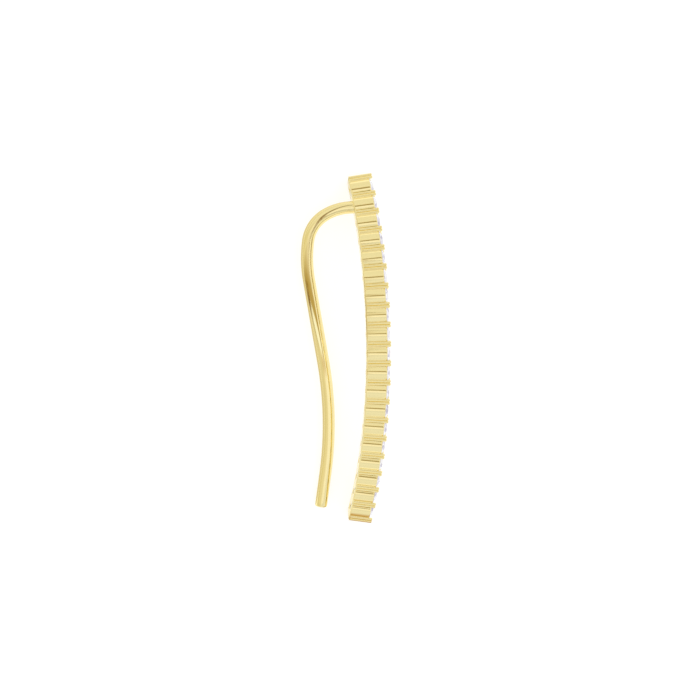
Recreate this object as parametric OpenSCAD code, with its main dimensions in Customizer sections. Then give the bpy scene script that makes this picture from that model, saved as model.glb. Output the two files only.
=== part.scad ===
// Ear climber: a curved bar of round stones in shared split prongs, carried by one bent ear wire.
// The jewel lies on its side, as it rests on a table: both bar ends and the tip of the wire touch z = 0.
// X runs from the back of the bar to the stones, Y along the bar and Z up. Lengths are in millimetres.

/* [Stones] */
// Number of stones in the row
stone_count = 19; // [13:2:21]
// Diameter of a stone at its girdle
stone_d = 1.25; // [1.15:0.05:1.4]
// Height of the upright girdle band
girdle_h = 0.04; // [0.03:0.01:0.06]
// Width of the table as a share of the diameter
table_share = 0.57; // [0.53:0.01:0.62]
// Angle of the crown's main facets above the girdle
crown_angle = 34.5; // [32:0.5:36]
// Angle of the pavilion's main facets below the girdle
pavilion_angle = 41; // [40:0.5:43]
// Space between two neighbouring girdles
stone_gap = 0.09; // [0.08:0.01:0.14]

/* [Cups] */
// Height of a cup from the back of the bar to its rim
cup_h = 1.42; // [1.3:0.02:1.6]
// How far the cup's wall stands out past the girdle
cup_lip = 0.04; // [0.03:0.005:0.04]
// Bevel round the cup's rim
rim_bevel = 0.03; // [0.02:0.01:0.05]
// Height of the girdle's lower edge above the rim
girdle_lift = 0.06; // [0.04:0.01:0.08]
// Play all round between a stone and the metal
seat_play = 0.03; // [0.02:0.005:0.04]
// Diameter of the hole through the bar under each stone
azure_d = 0.4; // [0.3:0.05:0.7]

/* [Prongs] */
// Diameter of one prong
prong_d = 0.225; // [0.22:0.005:0.24]
// Distance between the two prongs of a split pair
pair_pitch = 0.21; // [0.2:0.005:0.215]
// Distance of the prongs from the bar's middle plane
prong_offset = 0.44; // [0.42:0.01:0.46]
// Height of a prong's tip above the stone's table
tip_rise = 0.07; // [0.04:0.01:0.1]

/* [Bar] */
// Radius of the bar's sweep along the ear
sweep_r = 24; // [22:1:40]
// Radius of the bar's bow away from the ear
bow_r = 70; // [60:5:120]
// Width of the flat rail behind the cups
rail_w = 1.2; // [1.1:0.05:1.25]
// Thickness of the rail
rail_t = 0.12; // [0.1:0.01:0.2]
// Width of the web that joins two cups
web_w = 0.8; // [0.7:0.05:0.85]

/* [Ear wire] */
// Diameter of the round wire
wire_d = 0.9; // [0.8:0.05:1]
// Number of the stone, from the upper end, behind which the wire is soldered
wire_stone = 2; // [2:1:4]
// Tilt of the wire's root from square to the bar, towards the bar's upper end
wire_tilt = 5; // [3:0.5:6]
// Straight run of the wire from the bar to its first bend
wire_lead = 0.32; // [0.26:0.02:0.5]
// Radius of the first bend, at the top of the hook
crook_r = 3.8; // [3.4:0.1:4.4]
// Turn of the first bend
crook_turn = 27.5; // [25:0.5:30]
// Radius of the tight bend over the ear
shoulder_r = 2.55; // [2.2:0.05:3]
// Turn of the tight bend
shoulder_turn = 51; // [48:0.5:54]
// Radius of the slow bend behind the ear
back_r = 9.4; // [8:0.2:10]
// Turn of the slow bend
back_turn = 17.5; // [16:0.5:20]
// Straight run behind the ear
wire_run = 6.1; // [5:0.1:7]
// Radius of the last bend, which turns the other way
heel_r = 27; // [24:1:30]
// Turn of the last bend
heel_turn = 17.5; // [15:0.1:19]
// Straight end of the wire
tail_l = 2.5; // [2:0.1:3]
// Bevel round the wire's free end
tail_bevel = 0.12; // [0.08:0.02:0.2]

/* [Hidden] */
$fn = 48;

// Stones
pitch = stone_d + stone_gap;
stone_r = stone_d / 2;
table_r = stone_r * table_share;
crown_h = (stone_r - table_r) * tan(crown_angle);
pavilion_h = stone_r * tan(pavilion_angle);
girdle_z = cup_h + girdle_lift;
table_z = girdle_z + girdle_h + crown_h;

// Metal
cup_r = stone_r + cup_lip;
prong_r = prong_d / 2;
tip_z = table_z + tip_rise;
root_z = rail_t / 2;
web_lap = 0.14;
web_l = pitch - 2 * sqrt(cup_r * cup_r - web_w * web_w / 4) + 2 * web_lap;
end_u = stone_count / 2 * pitch;
// Lap of two stretches of the rail, which also fills the wedge that the sweep opens between them
rail_bite = 0.01;
rail_lap = rail_w / 2 * tan(sweep_angle(pitch) / 2) + rail_bite;

// Place of a point on the middle line of the bar's back, u millimetres from the middle stone
function sweep_angle(u) = u / sweep_r * 180 / PI;
function bow_angle(u) = u / bow_r * 180 / PI;
function bar_point(u) = [
    -bow_r * (1 - cos(bow_angle(u))),
    sweep_r * sin(sweep_angle(u)),
    -sweep_r * (1 - cos(sweep_angle(u)))];

// Directions at u: out through the stone, along the bar, and across it towards its upper side
function out_dir(u) = [
    cos(bow_angle(u)),
    sin(bow_angle(u)) * cos(sweep_angle(u)),
    -sin(bow_angle(u)) * sin(sweep_angle(u))];
function along_dir(u) = [
    -sin(bow_angle(u)),
    cos(bow_angle(u)) * cos(sweep_angle(u)),
    -cos(bow_angle(u)) * sin(sweep_angle(u))];
function across_dir(u) = [0, sin(sweep_angle(u)), cos(sweep_angle(u))];
function at(u, out, along, across) =
    bar_point(u) + out * out_dir(u) + along * along_dir(u) + across * across_dir(u);

// Resting pose: the roll that lays the outer prongs of both ends flat on the table
roll = -atan(tan(bow_angle(end_u)) * sin(sweep_angle(end_u)));
function rolled(p) = [p.x * cos(roll) + p.z * sin(roll), p.y, p.z * cos(roll) - p.x * sin(roll)];
floor_z = rolled(at(end_u, 0, pair_pitch / 2, -prong_offset)).z - prong_r;

// Ear wire in its own plane, as rows of [bend radius, turn towards the bar, straight run after it]
BENDS = [
    [crook_r, crook_turn, 0],
    [shoulder_r, shoulder_turn, 0],
    [back_r, back_turn, wire_run],
    [heel_r, -heel_turn, tail_l]];
wire_r = wire_d / 2;
wire_u = stone_u(wire_stone);
wire_start = bar_point(wire_u);
wire_root = 0.7 * rail_t;
// Half of the hairline between two stretches of the wire, and the collar that closes it
seam_gap = 0.02;
seam_rise = 0.006;
seam_l = 0.12;
function direction(a) = [cos(a), sin(a)];
function heading(i) = i == 0 ? 180 + bow_angle(wire_u) - wire_tilt : heading(i - 1) + BENDS[i - 1][1];
// Arm from the centre of bend i to the wire where the heading is a
function arm(i, a) = -sign(BENDS[i][1]) * BENDS[i][0] * direction(a + 90);
function centre(i) = wire_point(i) - arm(i, heading(i));
function bend_end(i) = centre(i) + arm(i, heading(i + 1));
function wire_point(i) = i == 0
    ? wire_lead * direction(heading(0))
    : bend_end(i - 1) + BENDS[i - 1][2] * direction(heading(i));
wire_end = wire_point(len(BENDS));
// Lean of the wire's plane that brings its free end down to the table
wire_lean = asin(
    ((wire_r + floor_z + (wire_start.x + wire_end.x) * sin(roll)) / cos(roll) - wire_start.z) / wire_end.y);
function on_wire(p) = wire_start + [p.x, p.y * cos(wire_lean), p.y * sin(wire_lean)];

// Middle of the whole jewel's outline on the table, from its outermost points
tips = [for (k = [0:stone_count]) rolled(at(station_u(k), tip_z, 0, -prong_offset))];
x_low = rolled(on_wire(centre(2) - [back_r, 0])).x - wire_r;
x_high = max([for (p = tips) p.x]);
middle = [(x_low + x_high) / 2, 0, floor_z];

function stone_name(k) = str("stone_", k < 10 ? "0" : "", k);
function stone_u(k) = ((stone_count + 1) / 2 - k) * pitch;
function station_u(k) = (k - stone_count / 2) * pitch;

// Stands its children on the bar: their Z points out through the stones and their Y along the bar
module on_bar(u) {
    translate(bar_point(u))
        rotate([-sweep_angle(u), 0, 0])
            rotate([0, 0, bow_angle(u)])
                rotate([0, 90, 0])
                    children();
}

// Lays the finished jewel down in its resting pose
module at_rest() {
    translate(-middle) rotate([0, roll, 0]) children();
}

// One stretch of the rail under a cup; the stretches at the two ends close it with cut corners
module rail(k) {
    half = pitch / 2 + rail_lap;
    tip = pitch / 2 + pair_pitch / 2;
    side = rail_w / 2;
    cut = side - prong_offset + prong_r;
    top = k == 1 ? tip : half;
    low = k == stone_count ? tip : half;
    top_cut = k == 1 ? cut : 0;
    low_cut = k == stone_count ? cut : 0;
    linear_extrude(rail_t)
        polygon([
            [side, top - 2 * top_cut],
            [side - top_cut, top],
            [top_cut - side, top],
            [-side, top - 2 * top_cut],
            [-side, 2 * low_cut - low],
            [low_cut - side, -low],
            [side - low_cut, -low],
            [side, 2 * low_cut - low]]);
}

module cup() {
    rotate_extrude()
        polygon([
            [0, root_z],
            [cup_r, root_z],
            [cup_r, cup_h - rim_bevel],
            [cup_r - rim_bevel, cup_h],
            [0, cup_h]]);
}

// A web between two cups with its four prongs, a split pair on each side of the bar.
// Each prong is turned to face the stone that it holds.
module station() {
    translate([-web_w / 2, -web_l / 2, root_z])
        cube([web_w, web_l, cup_h - rim_bevel - root_z]);
    for (side = [-1, 1], twin = [-1, 1])
        translate([side * prong_offset, twin * pair_pitch / 2, 0])
            rotate(atan2(twin * (pitch - pair_pitch) / 2, -side * prong_offset))
                prong();
}

module prong() {
    rotate_extrude()
        polygon([
            [0, root_z],
            [prong_r, root_z],
            [prong_r, tip_z - 0.75 * prong_r],
            [0.75 * prong_r, tip_z - 0.25 * prong_r],
            [0.35 * prong_r, tip_z],
            [0, tip_z]]);
}

// Room for a stone and the open hole under it
module seat() {
    play_r = stone_r + seat_play;
    azure_r = azure_d / 2;
    rotate_extrude()
        polygon([
            [0, -rail_t],
            [azure_r, -rail_t],
            [azure_r, girdle_z - (play_r - azure_r) * tan(pavilion_angle)],
            [play_r, girdle_z],
            [play_r, girdle_z + girdle_h + seat_play],
            [table_r + seat_play, table_z + seat_play],
            [0, table_z + seat_play]]);
}

module bar() {
    difference() {
        union() {
            for (k = [1:stone_count]) on_bar(stone_u(k)) {
                rail(k);
                cup();
            }
            for (k = [0:stone_count]) on_bar(station_u(k)) station();
        }
        for (k = [1:stone_count]) on_bar(stone_u(k)) seat();
    }
}

// Straight stretch of the wire between two seams, l apart from point p along heading a
module run(p, a, l) {
    translate(p + seam_gap * direction(a))
        rotate([0, 90, a])
            cylinder(h = l - 2 * seam_gap, r = wire_r);
}

module bend(i) {
    gap = seam_gap / BENDS[i][0] * 180 / PI;
    turn = BENDS[i][1];
    from = turn > 0 ? heading(i) - 90 : heading(i) + 90 + turn;
    translate(centre(i))
        rotate([0, 0, from + gap])
            rotate_extrude(angle = abs(turn) - 2 * gap)
                translate([BENDS[i][0], 0])
                    circle(r = wire_r);
}

// Collar, a hair thicker than the wire, that closes the hairline between two stretches at p
module seam(p, a) {
    translate(p)
        rotate([0, 90, a])
            cylinder(h = seam_l, r = wire_r + seam_rise, center = true);
}

// Straight free end from point p along heading a, with its rim bevelled
module tail(p, a) {
    l = tail_l - seam_gap;
    translate(p + seam_gap * direction(a))
        rotate([0, 90, a])
            rotate_extrude()
                polygon([
                    [0, 0],
                    [wire_r, 0],
                    [wire_r, l - tail_bevel],
                    [wire_r - tail_bevel, l],
                    [0, l]]);
}

// The round ear wire, bent in one plane, from its root in the rail to the free end
module ear_wire() {
    last = len(BENDS) - 1;
    translate(wire_start) rotate([wire_lean, 0, 0]) {
        run(-wire_root * direction(heading(0)), heading(0), wire_lead + wire_root);
        for (i = [0:last]) {
            seam(wire_point(i), heading(i));
            bend(i);
        }
        for (i = [0:last - 1])
            if (BENDS[i][2] > 0) {
                seam(bend_end(i), heading(i + 1));
                run(bend_end(i), heading(i + 1), BENDS[i][2]);
            }
        seam(bend_end(last), heading(last + 1));
        tail(bend_end(last), heading(last + 1));
    }
}

module setting_with_hook() {
    color("gold")
        at_rest() {
            bar();
            ear_wire();
        }
}

// Round brilliant: rings of points from the table down to the culet, eight or sixteen to a ring
module brilliant() {
    step = 22.5;
    inner_r = (table_r + stone_r) / 2;
    lower_r = stone_r / 4;
    inner_z = girdle_z + girdle_h + (stone_r - inner_r * cos(step)) * tan(crown_angle);
    lower_z = girdle_z - (stone_r - lower_r * cos(step)) * tan(pavilion_angle);
    points = concat(
        [for (i = [0:7]) spot(table_r, 2 * i * step, table_z)],
        [for (i = [0:7]) spot(inner_r, (2 * i + 1) * step, inner_z)],
        [for (i = [0:15]) spot(stone_r, i * step, girdle_z + girdle_h)],
        [for (i = [0:15]) spot(stone_r, i * step, girdle_z)],
        [for (i = [0:7]) spot(lower_r, (2 * i + 1) * step, lower_z)],
        [[0, 0, girdle_z - pavilion_h]]);
    faces = concat(
        [[7, 6, 5, 4, 3, 2, 1, 0]],
        [for (i = [0:7]) [i, (i + 1) % 8, inner(i)]],
        [for (i = [0:7]) [i, inner(i), upper(2 * i), inner(i - 1)]],
        [for (i = [0:7], j = [0:1]) [inner(i), upper(2 * i + j + 1), upper(2 * i + j)]],
        [for (i = [0:15]) [upper(i), upper(i + 1), under(i + 1), under(i)]],
        [for (i = [0:7], j = [0:1]) [low(i), under(2 * i + j), under(2 * i + j + 1)]],
        [for (i = [0:7]) [culet, low(i - 1), under(2 * i), low(i)]]);
    polyhedron(points, faces);
}
function spot(r, a, z) = [r * cos(a), r * sin(a), z];
// Places of each ring's points in the brilliant's list
function inner(i) = 8 + (i + 8) % 8;
function upper(i) = 16 + i % 16;
function under(i) = 32 + i % 16;
function low(i) = 48 + (i + 8) % 8;
culet = 56;

module stone(k) {
    color("lavender") at_rest() on_bar(stone_u(k)) brilliant();
}

setting_with_hook();
for (k = [1:stone_count]) {
    stone(k);
}
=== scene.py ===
# Ear climber: a curved bar of round brilliants in shared split prongs, with one bent ear wire.
# It lies on its side on a pale table. +X runs from the back of the bar to the stones, +Y along the
# bar to its upper end and +Z up from the table. Sizes are in millimetres unless a name says metres.
import math

import bmesh
import bpy
from mathutils import Matrix, Vector


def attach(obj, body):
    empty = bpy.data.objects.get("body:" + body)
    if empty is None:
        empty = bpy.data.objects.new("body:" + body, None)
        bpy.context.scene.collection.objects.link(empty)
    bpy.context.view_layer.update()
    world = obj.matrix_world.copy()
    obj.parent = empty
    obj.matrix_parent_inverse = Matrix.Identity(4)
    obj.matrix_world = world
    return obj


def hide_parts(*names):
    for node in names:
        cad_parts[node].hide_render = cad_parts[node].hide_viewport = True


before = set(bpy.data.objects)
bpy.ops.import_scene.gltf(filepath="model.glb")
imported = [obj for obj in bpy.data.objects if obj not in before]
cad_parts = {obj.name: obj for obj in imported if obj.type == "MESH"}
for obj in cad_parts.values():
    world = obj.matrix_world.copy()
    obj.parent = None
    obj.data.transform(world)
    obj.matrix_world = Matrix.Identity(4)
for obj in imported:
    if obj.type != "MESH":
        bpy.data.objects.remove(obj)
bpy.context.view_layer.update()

# Where the bar runs
# The bar bows away from the ear and sweeps along its rim, so every cup, prong and the wire's root
# take their place from these two radii. The finished jewel is then rolled down onto the table.
MM = 0.001
stone_count = 19
pitch = 1.34
sweep_r = 24.0
bow_r = 70.0
roll = math.radians(-5.31482)
middle = Vector((-1.272478, 0.0, -3.934622))
rest_turn = Matrix.Rotation(roll, 3, "Y")


def bar_point(u):
    """Point on the middle of the bar's back, u millimetres from the middle stone."""
    bow, sweep = u / bow_r, u / sweep_r
    return Vector((-bow_r * (1 - math.cos(bow)), sweep_r * math.sin(sweep), -sweep_r * (1 - math.cos(sweep))))


def laid_down(point):
    """A point of the upright jewel, in metres on the table."""
    return (rest_turn @ Vector(point) - middle) * MM


# Camera
# A 100 mm portrait lens close above the jewel, tipped a little towards the upper end of the bar and
# towards its back, as in the photograph.
lens_mm = 100.0
camera_distance = 138.9
tip_angle = math.radians(5.19)
side_angle = math.radians(3.03)
look = Matrix.Rotation(tip_angle, 3, "X") @ Matrix.Rotation(side_angle, 3, "Y")
look_back = look.transposed()
camera_data = bpy.data.cameras.new("camera")
camera_data.lens = lens_mm
camera_data.sensor_width = 36.0
camera_data.shift_x = -0.0231
camera_data.shift_y = 0.0047
camera_data.clip_start = 0.005
camera_data.clip_end = 10.0
camera = bpy.data.objects.new("camera", camera_data)
camera.matrix_world = (
    Matrix.Translation(laid_down(look_back @ Vector((0, 0, camera_distance))))
    @ (rest_turn @ look_back).to_4x4())
bpy.context.scene.collection.objects.link(camera)
bpy.context.scene.camera = camera


# Studio
# White softboxes all round a white table, in bands of slightly different brightness. Brown cards
# stand between them, and those just above the lens draw the dark line on each polished cup.
def linear(code):
    """An sRGB hex colour as linear red, green, blue and alpha."""
    channels = [int(code[i:i + 2], 16) / 255 for i in (0, 2, 4)]
    return tuple(c / 12.92 if c <= 0.04045 else ((c + 0.055) / 1.055) ** 2.4 for c in channels) + (1.0,)


def add(tree, kind, values=None, links=None, **settings):
    """A new node with its settings, its sockets' values and what is plugged into them."""
    node = tree.nodes.new(kind)
    for name, value in settings.items():
        setattr(node, name, value)
    for socket, value in (values or {}).items():
        node.inputs[socket].default_value = value
    for socket, source in (links or {}).items():
        tree.links.new(source, node.inputs[socket])
    return node


studio_light = 1.12
# Angle from straight up towards the bar's upper end, and the brightness of the softbox there
studio_bands = [
    (-180, "e8ebf4"),
    (-60, "e6e9f2"),
    (-45, "e9ecf6"),
    (-32, "e6e9f3"),
    (-23, "dfe1ea"),
    (-15, "f6f7ff"),
    (-2, "f6f7ff"),
    (6, "e9e9e9"),
    (27, "e9e9e8"),
    (70, "e7e7e6"),
    (180, "e8e9ec")]
# Brown cards between the softboxes: two ends in degrees from straight up, towards the stones and
# towards the bar's upper end, then half the width, the softness of the rim, the depth and the colour
studio_cards = [
    ((3, 11.5), (6.5, 11.5), 6.5, 1.5, 1.0, "a89772"),
    ((6.5, 11.5), (14, 5), 6.5, 2.5, 1.0, "a89772"),
    ((-130, -8), (-45, -8), 30, 14, 0.55, "d1c698"),
    ((-104, -80), (-104, 80), 36, 14, 0.55, "d1c698")]
world = bpy.data.worlds.new("white softboxes")
bpy.context.scene.world = world
world.use_nodes = True
studio = world.node_tree
studio.nodes.clear()
direction = add(studio, "ShaderNodeTexCoord")
parts = add(studio, "ShaderNodeSeparateXYZ", links={0: direction.outputs["Generated"]})
to_stones = add(
    studio, "ShaderNodeMath", operation="ARCTAN2", links={0: parts.outputs[0], 1: parts.outputs[2]})
to_upper = add(
    studio, "ShaderNodeMath", operation="ARCTAN2", links={0: parts.outputs[1], 1: parts.outputs[2]})
along_ramp = add(
    studio, "ShaderNodeMapRange", links={0: to_upper.outputs[0]},
    values={"From Min": -math.pi, "From Max": math.pi, "To Min": 0.0, "To Max": 1.0})
bands = add(studio, "ShaderNodeValToRGB", links={0: along_ramp.outputs[0]})
stops = bands.color_ramp.elements
stops.remove(stops[1])
for number, (degrees, code) in enumerate(studio_bands):
    stop = stops[0] if number == 0 else stops.new((degrees + 180) / 360)
    stop.position = (degrees + 180) / 360
    stop.color = linear(code)
aim = add(studio, "ShaderNodeCombineXYZ", links={0: to_stones.outputs[0], 1: to_upper.outputs[0]})
lit = bands.outputs["Color"]
for near, far, half_width, softness, depth, code in studio_cards:
    start = Vector([math.radians(a) for a in near] + [0])
    reach = Vector([math.radians(a) for a in far] + [0]) - start
    from_start = add(
        studio, "ShaderNodeVectorMath", operation="SUBTRACT", links={0: aim.outputs[0]}, values={1: start})
    share = add(
        studio, "ShaderNodeVectorMath", operation="DOT_PRODUCT", links={0: from_start.outputs[0]},
        values={1: reach / reach.length_squared})
    kept = add(studio, "ShaderNodeClamp", links={0: share.outputs["Value"]})
    nearest = add(
        studio, "ShaderNodeVectorMath", operation="SCALE", values={0: reach},
        links={"Scale": kept.outputs[0]})
    away = add(
        studio, "ShaderNodeVectorMath", operation="DISTANCE",
        links={0: from_start.outputs[0], 1: nearest.outputs[0]})
    cover = add(
        studio, "ShaderNodeMapRange", interpolation_type="SMOOTHSTEP", links={0: away.outputs["Value"]},
        values={
            "From Min": math.radians(half_width - softness), "From Max": math.radians(half_width + softness),
            "To Min": depth, "To Max": 0.0})
    carded = add(studio, "ShaderNodeMix", data_type="RGBA", links={0: cover.outputs[0], 6: lit})
    carded.inputs[7].default_value = linear(code)
    lit = carded.outputs[2]
seen = add(studio, "ShaderNodeLightPath")
backdrop = add(studio, "ShaderNodeMix", data_type="RGBA", links={0: seen.outputs["Is Camera Ray"], 6: lit})
backdrop.inputs[7].default_value = linear("ffffff")
softboxes = add(
    studio, "ShaderNodeBackground", values={"Strength": studio_light},
    links={"Color": backdrop.outputs[2]})
add(studio, "ShaderNodeOutputWorld", links={0: softboxes.outputs[0]})
bpy.context.scene.view_settings.view_transform = "Standard"

# Table
# A sheet of white card that the jewel lies on.
table_r = 600.0
card = bmesh.new()
bmesh.ops.create_circle(card, cap_ends=True, segments=96, radius=table_r * MM)
card_mesh = bpy.data.meshes.new("table")
card.to_mesh(card_mesh)
card.free()
floor = bpy.data.objects.new("table", card_mesh)
bpy.context.scene.collection.objects.link(floor)
white_card = bpy.data.materials.new("white_card")
white_card.use_nodes = True
paint = white_card.node_tree.nodes["Principled BSDF"]
paint.inputs["Base Color"].default_value = linear("b8b8b8")
paint.inputs["Emission Color"].default_value = linear("ffffff")
paint.inputs["Emission Strength"].default_value = 0.67
paint.inputs["Roughness"].default_value = 0.9
paint.inputs["Specular IOR Level"].default_value = 0.1
card_mesh.materials.append(white_card)


# Polished yellow gold
# 14 karat yellow gold, cast, then polished on a felt wheel: nearly a mirror, with a faint haze and
# hairlines a tenth of a millimetre apart, with finer ones between, that run the way of the wheel.
polished_gold = bpy.data.materials.new("polished_yellow_gold")
polished_gold.use_nodes = True
gold = polished_gold.node_tree
gold.nodes.clear()
place = add(gold, "ShaderNodeTexCoord")
# The hairlines' noise is squeezed this much, per metre: little the way of the wheel, much across it
hairlines_along = 60.0
hairline_w = 0.05
hairlines_across = 1 / (hairline_w * MM)
wheel = add(
    gold, "ShaderNodeMapping", links={"Vector": place.outputs["Object"]},
    values={"Scale": (hairlines_along, hairlines_across, hairlines_across)})
hairlines = add(
    gold, "ShaderNodeTexNoise", links={"Vector": wheel.outputs[0]},
    values={"Scale": 0.5, "Detail": 2.0, "Roughness": 0.5})
haze = add(
    gold, "ShaderNodeTexNoise", links={"Vector": place.outputs["Object"]},
    values={"Scale": 900.0, "Detail": 3.0, "Roughness": 0.55})
tone = add(gold, "ShaderNodeMix", data_type="RGBA", links={0: haze.outputs[0]})
tone.inputs[6].default_value = linear("f7e6a4")
tone.inputs[7].default_value = linear("fbeaaa")
gloss = add(
    gold, "ShaderNodeMapRange", links={0: hairlines.outputs[0]},
    values={"From Min": 0.3, "From Max": 0.7, "To Min": 0.07, "To Max": 0.13})
relief = add(
    gold, "ShaderNodeBump", links={"Height": hairlines.outputs[0]},
    values={"Strength": 0.08, "Distance": 0.000002})
metal = add(
    gold, "ShaderNodeBsdfPrincipled", values={"Metallic": 1.0},
    links={"Base Color": tone.outputs[2], "Roughness": gloss.outputs[0], "Normal": relief.outputs[0]})
add(gold, "ShaderNodeOutputMaterial", links={0: metal.outputs[0]})


# Row of cups
# One collar cup under each stone, cast in gold: a plain round wall, a lip polished over to the
# stone's edge, a coned seat inside and a light hole below. A node tree stands them along the bar.
cup_r = 0.665
wall_h = 1.39
lip_r = 0.634
lip_h = 1.487
root_z = 0.06
hole_r = 0.20
seat_r = 0.632
seat_top = 1.46
seat_z = 1.0845
lip_steps = 6
cup_steps = 72
sharp_angle = math.radians(32)


def turned(name, outline, steps):
    """A mesh turned round Z from an outline of (radius, height) pairs; radius 0 closes it."""
    shape = bmesh.new()
    rings = []
    for radius, height in outline:
        if radius == 0:
            rings.append([shape.verts.new((0, 0, height))] * steps)
        else:
            rings.append([
                shape.verts.new((
                    radius * math.cos(2 * math.pi * i / steps), radius * math.sin(2 * math.pi * i / steps),
                    height))
                for i in range(steps)])
    closed = outline[0][0] != 0
    for lower, upper in zip(rings, rings[1:] + rings[:1] if closed else rings[1:]):
        for i in range(steps):
            corners = [lower[i], lower[(i + 1) % steps], upper[(i + 1) % steps], upper[i]]
            shape.faces.new(list(dict.fromkeys(corners)))
    bmesh.ops.recalc_face_normals(shape, faces=shape.faces)
    mesh = bpy.data.meshes.new(name)
    shape.to_mesh(mesh)
    shape.free()
    return mesh


cup_outline = [(hole_r, root_z), (cup_r, root_z)]
for i in range(lip_steps + 1):
    a = math.pi / 2 * i / lip_steps
    cup_outline.append((lip_r + (cup_r - lip_r) * math.cos(a), wall_h + (lip_h - wall_h) * math.sin(a)))
cup_outline += [(seat_r, seat_top), (hole_r, seat_z)]

# The corner between a cup and each of the four prongs round it is filled with a hollow round
prong_r = 0.1125
pair_pitch = 0.21
prong_offset = 0.44
corner_r = 0.07
corner_steps = 8
prong_centre = Vector((prong_offset, (pitch - pair_pitch) / 2))
to_prong = prong_centre.normalized()
along_line = ((cup_r + corner_r) ** 2 - (prong_r + corner_r) ** 2 + prong_centre.length_squared) / (
    2 * prong_centre.length)
off_line = math.sqrt((cup_r + corner_r) ** 2 - along_line ** 2)
corner_centre = to_prong * along_line + Vector((to_prong.y, -to_prong.x)) * off_line
from_cup = -corner_centre.normalized()
from_prong = (prong_centre - corner_centre).normalized()
fillet = [
    corner_centre + from_cup.lerp(from_prong, i / corner_steps).normalized() * corner_r
    for i in range(corner_steps + 1)] + [to_prong * (cup_r - prong_r / 2)]
cup = bmesh.new()
cup.from_mesh(turned("cup_wall", cup_outline, cup_steps))
for side in (-1, 1):
    for end in (-1, 1):
        low = [cup.verts.new((side * x, end * y, root_z)) for x, y in fillet]
        top = [cup.verts.new((side * x, end * y, wall_h)) for x, y in fillet]
        faces = [cup.faces.new(low), cup.faces.new(top)]
        for i in range(len(fillet)):
            j = (i + 1) % len(fillet)
            faces.append(cup.faces.new((low[i], low[j], top[j], top[i])))
        bmesh.ops.recalc_face_normals(cup, faces=faces)
cup_mesh = bpy.data.meshes.new("cup")
cup.to_mesh(cup_mesh)
cup.free()


def new_tree(name, sizes):
    """A node tree for a shape, with these sizes as its inputs, and the node that gives them."""
    tree = bpy.data.node_groups.new(name, "GeometryNodeTree")
    tree.interface.new_socket("Geometry", in_out="INPUT", socket_type="NodeSocketGeometry")
    for label, value in sizes.items():
        kind = "NodeSocketInt" if isinstance(value, int) else "NodeSocketFloat"
        tree.interface.new_socket(label, in_out="INPUT", socket_type=kind).default_value = value
    tree.interface.new_socket("Geometry", in_out="OUTPUT", socket_type="NodeSocketGeometry")
    return tree, add(tree, "NodeGroupInput")


def math_node(tree, operation, first, second=None):
    """Output of a math node on two numbers or sockets."""
    node = add(tree, "ShaderNodeMath", operation=operation)
    for socket, value in enumerate((first, second)):
        if isinstance(value, bpy.types.NodeSocket):
            tree.links.new(value, node.inputs[socket])
        elif value is not None:
            node.inputs[socket].default_value = value
    return node.outputs[0]


def bar_nodes(tree, given, along):
    """Sockets of the point on the bar's back this far along it, and of the ways out and across there."""
    bow_size, sweep_size = given.outputs["Bow radius"], given.outputs["Sweep radius"]
    bow = math_node(tree, "DIVIDE", along, bow_size)
    sweep = math_node(tree, "DIVIDE", along, sweep_size)
    cos_bow, sin_bow = math_node(tree, "COSINE", bow), math_node(tree, "SINE", bow)
    cos_sweep, sin_sweep = math_node(tree, "COSINE", sweep), math_node(tree, "SINE", sweep)
    back = add(tree, "ShaderNodeCombineXYZ", links={
        0: math_node(tree, "MULTIPLY", math_node(tree, "SUBTRACT", cos_bow, 1.0), bow_size),
        1: math_node(tree, "MULTIPLY", sin_sweep, sweep_size),
        2: math_node(tree, "MULTIPLY", math_node(tree, "SUBTRACT", cos_sweep, 1.0), sweep_size)})
    outward = add(tree, "ShaderNodeCombineXYZ", links={
        0: cos_bow, 1: math_node(tree, "MULTIPLY", sin_bow, cos_sweep),
        2: math_node(tree, "MULTIPLY", math_node(tree, "MULTIPLY", sin_bow, sin_sweep), -1.0)})
    across = add(tree, "ShaderNodeCombineXYZ", links={
        1: math_node(tree, "MULTIPLY", sin_sweep, -1.0), 2: math_node(tree, "MULTIPLY", cos_sweep, -1.0)})
    return back.outputs[0], outward.outputs[0], across.outputs[0]


def lay_down(tree, shape):
    """Ends a node tree: the shape is laid on the table in metres and takes the polished gold."""
    laid = add(
        tree, "GeometryNodeTransform", links={"Geometry": shape},
        values={"Rotation": (0, roll, 0), "Scale": (MM, MM, MM), "Translation": -middle * MM})
    finished = add(
        tree, "GeometryNodeSetMaterial", links={"Geometry": laid.outputs[0]},
        values={"Material": polished_gold})
    add(tree, "NodeGroupOutput", links={0: finished.outputs[0]})


def row_tree(name, template, count):
    """Node tree that stands a template along the bar, one each pitch, and lays the row on the table."""
    tree, given = new_tree(
        name, {"Count": count, "Pitch": pitch, "Sweep radius": sweep_r, "Bow radius": bow_r})
    last = math_node(tree, "SUBTRACT", given.outputs["Count"], 1.0)
    from_middle = math_node(
        tree, "SUBTRACT", add(tree, "GeometryNodeInputIndex").outputs[0],
        math_node(tree, "MULTIPLY", last, 0.5))
    along = math_node(tree, "MULTIPLY", from_middle, given.outputs["Pitch"])
    back, outward, across = bar_nodes(tree, given, along)
    stance = add(
        tree, "FunctionNodeAxesToRotation", primary_axis="Z", secondary_axis="X",
        links={0: outward, 1: across})
    points = add(tree, "GeometryNodePoints", links={"Count": given.outputs["Count"], "Position": back})
    shape = add(tree, "GeometryNodeObjectInfo", values={"Object": template})
    stood = add(tree, "GeometryNodeInstanceOnPoints", links={
        "Points": points.outputs[0], "Instance": shape.outputs["Geometry"], "Rotation": stance.outputs[0]})
    real = add(tree, "GeometryNodeRealizeInstances", links={0: stood.outputs[0]})
    lay_down(tree, real.outputs[0])
    return tree


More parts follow.
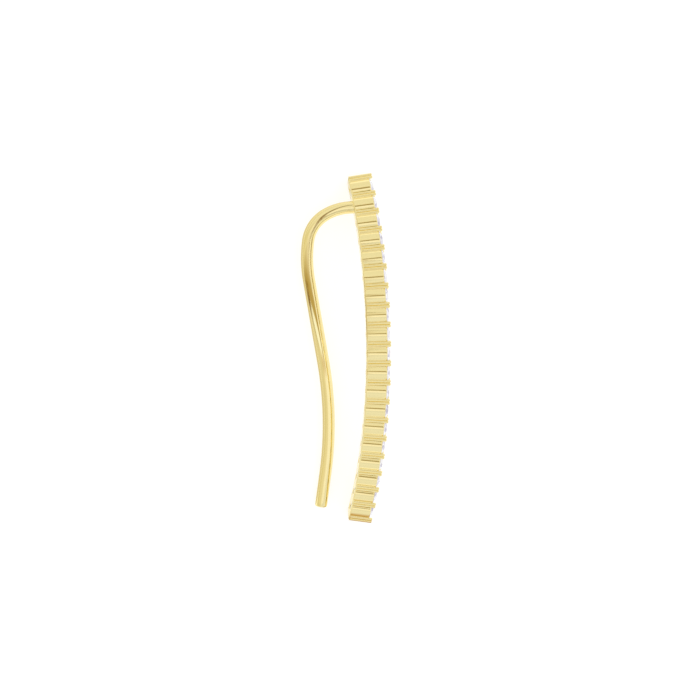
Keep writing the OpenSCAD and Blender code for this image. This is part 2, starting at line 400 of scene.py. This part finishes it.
def made(name, tree, base=None):
    """Runs a node tree on a base object, or on nothing, and keeps the result as a plain smooth piece."""
    if base is None:
        base = bpy.data.objects.new(name + "_base", bpy.data.meshes.new(name + "_base"))
        bpy.context.scene.collection.objects.link(base)
    modifier = base.modifiers.new("shape", "NODES")
    modifier.node_group = tree
    bpy.context.view_layer.update()
    graph = bpy.context.evaluated_depsgraph_get()
    mesh = bpy.data.meshes.new_from_object(base.evaluated_get(graph), depsgraph=graph)
    mesh.name = name
    piece = bpy.data.objects.new(name, mesh)
    bpy.context.scene.collection.objects.link(piece)
    base.modifiers.clear()
    bpy.data.objects.remove(base)
    mesh.shade_smooth()
    mesh.set_sharp_from_angle(angle=sharp_angle)
    return piece


def row_of(name, template_mesh, count):
    """A row of count copies of the template along the bar, as one piece of the setting."""
    template = bpy.data.objects.new(name + "_template", template_mesh)
    bpy.context.scene.collection.objects.link(template)
    piece = made(name, row_tree(name, template, count))
    bpy.data.objects.remove(template)
    return piece


cups = row_of("cups", cup_mesh, stone_count)
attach(cups, "root")
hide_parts("setting_with_hook")

# Webs and split prongs
# Between two cups a web joins them, and on each side of it stands a split pair of prongs, one for
# each neighbouring stone. They are cast with the cups; their tips are rounded over the stones.
tip_z = 1.775
tip_round = 0.095
web_w = 0.8
web_h = 1.39
web_l = 0.55
web_round = 0.03
tip_steps = 6
prong_steps = 32

prong_outline = [(0, root_z), (prong_r, root_z)]
for i in range(tip_steps + 1):
    a = math.pi / 2 * i / tip_steps
    prong_outline.append((
        prong_r - tip_round + tip_round * math.cos(a), tip_z - tip_round + tip_round * math.sin(a)))
prong_outline.append((0, tip_z))
prong_mesh = turned("prong", prong_outline, prong_steps)
station = bmesh.new()
web_middle = Matrix.Translation((0, 0, (web_h + root_z) / 2))
bmesh.ops.create_cube(
    station, size=1.0, matrix=web_middle @ Matrix.Diagonal((web_w, web_l, web_h - root_z, 1)))
bmesh.ops.bevel(
    station, geom=list(station.edges), offset=web_round, segments=2, profile=0.5, affect="EDGES")
for side in (-1, 1):
    for twin in (-1, 1):
        before = len(station.verts)
        station.from_mesh(prong_mesh)
        station.verts.ensure_lookup_table()
        bmesh.ops.translate(
            station, verts=station.verts[before:], vec=(side * prong_offset, twin * pair_pitch / 2, 0))
station_mesh = bpy.data.meshes.new("prongs")
station.to_mesh(station_mesh)
station.free()
prongs = row_of("webs_and_prongs", station_mesh, stone_count + 1)
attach(prongs, "root")
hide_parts("setting_with_hook")

# Rail
# A thin flat gold strip soldered along the backs of the cups, with a round light hole under each
# stone and clipped corners at both ends. It is made flat, then a node tree bends it to the bar.
rail_w = 1.2
rail_t = 0.12
rail_round = 0.045
rail_cut = rail_w / 2 - prong_offset + prong_r
tab_half = 0.4
hole_steps = 48
# Corners of the flat strip nearer than weld_reach are one, and nearer than hair to its side lie on it
weld_reach = 1e-5
hair = 1e-6
# Edges that turn by more than this are rounded
edge_angle = math.radians(60)

strip = bmesh.new()


def corner(x, y):
    """Lower vertex of the flat strip at x across and y along."""
    return strip.verts.new((x, y, 0.0))


for k in range(stone_count):
    y0 = (k - (stone_count - 1) / 2) * pitch
    ring, frame_ring = [], []
    for i in range(hole_steps):
        a = 2 * math.pi * (i + 0.5) / hole_steps
        c, s = math.cos(a), math.sin(a)
        reach = min(rail_w / 2 / max(abs(c), hair), pitch / 2 / max(abs(s), hair))
        ring.append(corner(hole_r * c, y0 + hole_r * s))
        frame_ring.append(corner(reach * c, y0 + reach * s))
    for i in range(hole_steps):
        j = (i + 1) % hole_steps
        here, there = frame_ring[i].co, frame_ring[j].co
        corners = [ring[i], frame_ring[i]]
        on_edge = [abs(abs(point.x) - rail_w / 2) < hair for point in (here, there)]
        if on_edge == [False, True]:
            corners.append(corner(there.x, here.y))
        elif on_edge == [True, False]:
            corners.append(corner(here.x, there.y))
        corners += [frame_ring[j], ring[j]]
        strip.faces.new(corners)
for end in (-1, 1):
    y0 = end * stone_count / 2 * pitch
    y1 = y0 + end * pair_pitch / 2
    tip_half = rail_w / 2 - rail_cut
    tab = [(-tab_half, y0), (tab_half, y0), (tip_half, y1), (-tip_half, y1)]
    strip.faces.new([corner(x, y) for x, y in tab])
bmesh.ops.remove_doubles(strip, verts=strip.verts, dist=weld_reach)
bmesh.ops.recalc_face_normals(strip, faces=strip.faces)
solid = bmesh.ops.extrude_face_region(strip, geom=strip.faces[:])
bmesh.ops.translate(
    strip, verts=[v for v in solid["geom"] if isinstance(v, bmesh.types.BMVert)], vec=(0, 0, rail_t))
bmesh.ops.recalc_face_normals(strip, faces=strip.faces)
bmesh.ops.bevel(
    strip, geom=[e for e in strip.edges if e.is_manifold and e.calc_face_angle() > edge_angle],
    offset=rail_round, segments=3, profile=0.5, affect="EDGES")
strip_mesh = bpy.data.meshes.new("rail_flat")
strip.to_mesh(strip_mesh)
strip.free()
strip_base = bpy.data.objects.new("rail_flat", strip_mesh)
bpy.context.scene.collection.objects.link(strip_base)

bend, given = new_tree("bend_along_the_bar", {"Sweep radius": sweep_r, "Bow radius": bow_r})
flat = add(bend, "ShaderNodeSeparateXYZ", links={0: add(bend, "GeometryNodeInputPosition").outputs[0]})
back, outward, across = bar_nodes(bend, given, flat.outputs[1])
lifted = add(
    bend, "ShaderNodeVectorMath", operation="MULTIPLY_ADD", links={0: outward, 1: flat.outputs[2], 2: back})
placed = add(
    bend, "ShaderNodeVectorMath", operation="MULTIPLY_ADD",
    links={0: across, 1: flat.outputs[0], 2: lifted.outputs[0]})
bent = add(bend, "GeometryNodeSetPosition", links={
    "Geometry": given.outputs["Geometry"], "Position": placed.outputs[0]})
lay_down(bend, bent.outputs[0])
rail = made("rail", bend, strip_base)
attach(rail, "root")
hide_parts("setting_with_hook")

# Ear wire
# One round gold wire, bent over the ear and soldered behind the second stone. Its free end is cut
# square and its rim rounded off. A node tree sweeps the round section along the bends.
wire_r = 0.45
wire_stone = 2
wire_u = ((stone_count + 1) / 2 - wire_stone) * pitch
wire_lean = math.radians(2.219233)
wire_tilt = math.radians(5)
wire_root = 0.084
wire_lead = 0.32
# Radius, turn towards the bar in degrees and straight run after each bend
wire_bends = [(3.8, 27.5, 0.0), (2.55, 51.0, 0.0), (9.4, 17.5, 6.1), (27.0, -17.5, 2.5)]
bend_step = 1.5
run_steps = 8
end_round = 0.12
round_steps = 6
section_steps = 48

path = []
heading = math.pi + wire_u / bow_r - wire_tilt


def straight(begin, length, steps):
    """Adds a straight stretch to the path and gives its end."""
    ahead = Vector((math.cos(heading), math.sin(heading)))
    for i in range(1, steps + 1):
        path.append(begin + ahead * length * i / steps)
    return begin + ahead * length


spot = Vector((math.cos(heading), math.sin(heading))) * -wire_root
path.append(spot.copy())
spot = straight(spot, wire_root + wire_lead, 3)
for radius, turn, run in wire_bends:
    hub = spot + Vector((-math.sin(heading), math.cos(heading))) * math.copysign(radius, turn)
    arm = spot - hub
    steps = round(abs(turn) / bend_step)
    for i in range(1, steps + 1):
        path.append(hub + Matrix.Rotation(math.radians(turn) * i / steps, 2) @ arm)
    spot = path[-1].copy()
    heading += math.radians(turn)
    if run:
        spot = straight(spot, run - (end_round if radius == wire_bends[-1][0] else 0), run_steps)
ahead = Vector((math.cos(heading), math.sin(heading)))
thickness = [1.0] * len(path)
for i in range(1, round_steps + 1):
    a = math.pi / 2 * i / round_steps
    path.append(spot + ahead * end_round * math.sin(a))
    thickness.append(1 - end_round / wire_r * (1 - math.cos(a)))
start = bar_point(wire_u)
line = bpy.data.curves.new("ear_wire_path", "CURVE")
line.dimensions = "3D"
spline = line.splines.new("POLY")
spline.points.add(len(path) - 1)
for point, (x, y), radius in zip(spline.points, path, thickness):
    point.co = (start.x + x, start.y + y * math.cos(wire_lean), start.z + y * math.sin(wire_lean), 1.0)
    point.radius = radius
wire_base = bpy.data.objects.new("ear_wire_path", line)
bpy.context.scene.collection.objects.link(wire_base)

sweep_tree, given = new_tree("sweep_the_wire", {"Wire radius": wire_r})
section = add(
    sweep_tree, "GeometryNodeCurvePrimitiveCircle", values={"Resolution": section_steps},
    links={"Radius": given.outputs["Wire radius"]})
tapered = add(sweep_tree, "GeometryNodeInputRadius")
tube = add(sweep_tree, "GeometryNodeCurveToMesh", values={"Fill Caps": True}, links={
    "Curve": given.outputs["Geometry"], "Profile Curve": section.outputs[0], "Scale": tapered.outputs[0]})
lay_down(sweep_tree, tube.outputs[0])
ear_wire = made("ear_wire", sweep_tree, wire_base)
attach(ear_wire, "root")
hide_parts("setting_with_hook")

# Flags over the wire
# Narrow cards that a photographer hangs 6 mm over a polished wire, to draw its dark shading and one
# bright streak. Each hangs where the wire mirrors it and fades out beside the bar; the lens itself
# sees none of them.
flag_height = 6.0
flag_reach = 16.0
flag_steps = 6
least_rise = 0.01
rim_share = 0.95
# Where the cards end beside the bar, from the jewel's middle, and over what width they fade there
bar_edge = 1.1
bar_fade = 0.3
camera_spot = look_back @ Vector((0, 0, camera_distance))
wire_line = [
    Vector((start.x + x, start.y + y * math.cos(wire_lean), start.z + y * math.sin(wire_lean)))
    for x, y in path]
reached = [-wire_root]
for here, there in zip(wire_line, wire_line[1:]):
    reached.append(reached[-1] + (there - here).length)
# Stations along the wire: millimetres from the joint, share of the radius towards the bar, half the
# width as such a share, and how much the card covers there
flags = {
    "joint_flag": ("8f7335", 1.0, [
        (-0.05, -0.37, 0.08, 0.6), (1, -0.22, 0.09, 0.7), (2, -0.05, 0.12, 0.85), (2.5, 0.06, 0.17, 1.0),
        (3, 0.22, 0.22, 0.75), (3.6, 0.38, 0.24, 0.45), (4.4, 0.45, 0.25, 0.25), (5.4, 0.3, 0.4, 0.0)]),
    "bend_flag": ("bca568", 1.0, [
        (2.9, 0.2, 0.1, 0.0), (3.7, 0.2, 0.2, 0.25), (4.5, 0.17, 0.28, 0.35), (5.2, 0.07, 0.5, 0.35),
        (6, -0.05, 0.55, 0.6), (6.8, -0.15, 0.55, 0.8),
        (7.5, -0.18, 0.55, 0.95), (8.2, -0.12, 0.5, 0.95), (8.8, -0.02, 0.42, 0.95), (9.4, 0.07, 0.34, 0.95),
        (10, 0.15, 0.25, 1.0), (11, 0.21, 0.14, 1.0), (12, 0.23, 0.11, 1.0), (12.8, 0.23, 0.1, 0.9),
        (13.6, 0.24, 0.08, 0.5), (14.4, 0.25, 0.06, 0.0)]),
    "left_flag": ("80602a", 1.0, [
        (6.2, -0.3, 0.35, 0.0), (7, -0.4, 0.3, 0.4), (7.6, -0.46, 0.27, 0.7), (8.3, -0.5, 0.22, 0.95),
        (8.9, -0.51, 0.19, 0.95), (9.4, -0.5, 0.16, 0.75), (10, -0.48, 0.14, 0.45), (10.8, -0.42, 0.1, 0.25),
        (12, -0.25, 0.08, 0.12), (13, -0.1, 0.06, 0.0)]),
    "end_flag": ("c4a054", 1.0, [
        (12.3, 0.1, 0.15, 0.0), (12.9, 0.12, 0.36, 0.4), (13.5, 0.12, 0.4, 0.5), (14.0, 0.14, 0.4, 0.35),
        (14.6, 0.16, 0.35, 0.0)]),
    "streak_card": ("e7eeff", 1.3, [
        (8.7, -0.38, 0.1, 0.2), (9.4, -0.33, 0.18, 0.8), (10.2, -0.25, 0.22, 1.0), (11, -0.15, 0.22, 1.0),
        (12, -0.04, 0.18, 1.0), (12.6, 0.02, 0.12, 0.8), (13.2, 0.08, 0.06, 0.0)])}


def mirrored(along, across):
    """Where a flag hangs to show at this place on the wire."""
    at = max(k for k in range(len(reached) - 1) if reached[k] <= along)
    ahead = (wire_line[at + 1] - wire_line[at]).normalized()
    centre = wire_line[at] + ahead * (along - reached[at])
    view = (camera_spot - centre).normalized()
    up = (view - ahead * view.dot(ahead)).normalized()
    outward = up.cross(ahead) * across + up * math.sqrt(1 - across ** 2)
    spot = centre + outward * wire_r
    view = (camera_spot - spot).normalized()
    ray = outward * (2 * outward.dot(view)) - view
    rise = (flag_height - (spot - centre).dot(up)) / max(ray.dot(up), least_rise)
    return laid_down(spot + ray * min(rise, flag_reach))


def hang(name, rows, code, strength):
    """Hangs a flag of rows of (point, cover); only mirrors see it, and it fades where it covers less."""
    ribbon = bmesh.new()
    layer = ribbon.verts.layers.float.new("cover")
    grid = []
    for row in rows:
        grid.append([ribbon.verts.new(point) for point, cover in row])
        for corner_vert, (point, cover) in zip(grid[-1], row):
            corner_vert[layer] = cover
    for row, further in zip(grid, grid[1:]):
        for i in range(len(row) - 1):
            ribbon.faces.new((row[i], row[i + 1], further[i + 1], further[i]))
    ribbon_mesh = bpy.data.meshes.new(name)
    ribbon.to_mesh(ribbon_mesh)
    ribbon.free()
    flag = bpy.data.objects.new(name, ribbon_mesh)
    bpy.context.scene.collection.objects.link(flag)
    flag.visible_camera = flag.visible_diffuse = flag.visible_shadow = flag.visible_transmission = False
    flag_paint = bpy.data.materials.new(name + "_paint")
    flag_paint.use_nodes = True
    paper = flag_paint.node_tree
    paper.nodes.clear()
    covered = add(paper, "ShaderNodeAttribute", attribute_name="cover")
    clear = add(paper, "ShaderNodeBsdfTransparent")
    glow = add(paper, "ShaderNodeEmission", values={"Color": linear(code), "Strength": strength})
    both = add(paper, "ShaderNodeMixShader", links={
        0: covered.outputs["Fac"], 1: clear.outputs[0], 2: glow.outputs[0]})
    add(paper, "ShaderNodeOutputMaterial", links={0: both.outputs[0]})
    ribbon_mesh.materials.append(flag_paint)


shares = [i / flag_steps for i in range(-flag_steps, flag_steps + 1)]
for name, (code, strength, stations) in flags.items():
    rows = []
    for along, across, half, cover in stations:
        row = []
        for share in shares:
            point = mirrored(along, max(-rim_share, min(rim_share, across + half * share)))
            beside_bar = max(0.0, min(1.0, (bar_edge - point.x / MM) / bar_fade))
            row.append((point, cover * (1 - share ** 4) * beside_bar))
        rows.append(row)
    hang(name, rows, code, strength)

# A beige sheet that only mirrors see lies on the table along the outside of the wire: a painted
# reflection that darkens the wire's outer rim. It fades in along the wire from the joint on.
sheet_lift = 0.02
sheet_start = -3.0
sheet_fade = 8.0
sheet_step = 4
# Distance out from the middle of the wire, and how much the sheet covers there
sheet_profile = [(0.5, 0.0), (1.0, 1.0), (3.0, 1.0), (8.0, 1.0), (16.0, 0.0)]
sheet_rows = []
for k in range(0, len(wire_line) - 1, sheet_step):
    ahead = (wire_line[k + 1] - wire_line[k]).normalized()
    outside = ahead.cross(Vector((0, 0, 1)))
    strong = max(0.0, min(1.0, (reached[k] - sheet_start) / sheet_fade))
    row = []
    for offset, cover in sheet_profile:
        point = laid_down(wire_line[k] + outside * offset)
        row.append((Vector((point.x, point.y, sheet_lift * MM)), cover * strong))
    sheet_rows.append(row)
hang("table_sheet", sheet_rows, "e3ddcf", 1.0)

# A brown card stands close below the lower end of the bar and darkens the last prongs' undersides
foot_y = -13.3
foot_xs = [-0.9, 0.6, 1.8, 3.2]
# Height over the table, and how much the card covers there
foot_profile = [(0.02, 1.0), (0.8, 0.9), (1.3, 0.6), (1.9, 0.0)]
foot_rows = [[(Vector((x, foot_y, z)) * MM, cover) for x in foot_xs] for z, cover in foot_profile]
hang("foot_card", foot_rows, "bd8f32", 1.0)

# Stones
# Nineteen round brilliants with sharp polished facets, held by the prongs. Their solids are already
# exact, so they stay and only take their finish here. Their colour is painted sparkle: every facet
# is painted its own shade between lavender grey and white for the light it mirrors, and a faint
# emission paints a glow into them.
cut_diamond = bpy.data.materials.new("brilliant_cut_diamond")
cut_diamond.use_nodes = True
diamond = cut_diamond.node_tree
diamond.nodes.clear()
facets = add(diamond, "ShaderNodeTexCoord")
facet_sparkle_noise = add(
    diamond, "ShaderNodeTexNoise", links={"Vector": facets.outputs["Normal"]},
    values={"Scale": 9.0, "Detail": 1.0, "Roughness": 0.5})
# Painted sparkle: each facet takes a shade between lavender grey and white from the noise on its normal
body = add(diamond, "ShaderNodeValToRGB", links={0: facet_sparkle_noise.outputs[0]})
painted_sparkle_stops = body.color_ramp.elements
painted_sparkle_stops[0].position, painted_sparkle_stops[0].color = 0.36, linear("a9a1b4")
painted_sparkle_stops[1].position, painted_sparkle_stops[1].color = 0.56, linear("ffffff")
painted_sparkle_stops.new(0.44).color = linear("dad5e4")
painted_sparkle_stops.new(0.49).color = linear("f8f6fa")
# The faint white emission paints a glow into the stones
crystal = add(
    diamond, "ShaderNodeBsdfPrincipled",
    values={
        "Roughness": 0.02, "IOR": 2.417, "Transmission Weight": 0.35, "Emission Color": linear("f4f2fa"),
        "Emission Strength": 0.1},
    links={"Base Color": body.outputs[0]})
add(diamond, "ShaderNodeOutputMaterial", links={0: crystal.outputs[0]})
for number in range(1, stone_count + 1):
    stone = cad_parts[f"stone_{number:02d}"]
    stone.data.materials.clear()
    stone.data.materials.append(cut_diamond)
